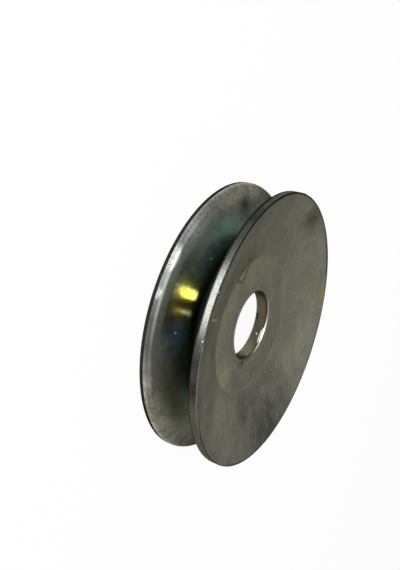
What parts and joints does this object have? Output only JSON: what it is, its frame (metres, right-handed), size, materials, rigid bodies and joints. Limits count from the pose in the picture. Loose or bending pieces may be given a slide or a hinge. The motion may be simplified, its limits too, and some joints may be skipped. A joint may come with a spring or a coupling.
{
  "type": "alternator pulley",
  "caption": "Single-groove V-belt pulley spun from one steel blank: two dished flanges round a flat hub with a plain round bore, for an alternator shaft.",
  "frame": {"origin": "centre of the bore, in the belt's centre plane", "axes": "+Z along the axis of rotation, out of the front face, the one with the rolled bore edge"},
  "size_m": [0.068, 0.068, 0.0146],
  "materials": {
    "zinc_plated_steel": "zinc plated and passivated, stained grey faces, glossier groove"
  },
  "bodies": {
    "root": {"pulley": "zinc_plated_steel"}
  },
  "joints": []
}
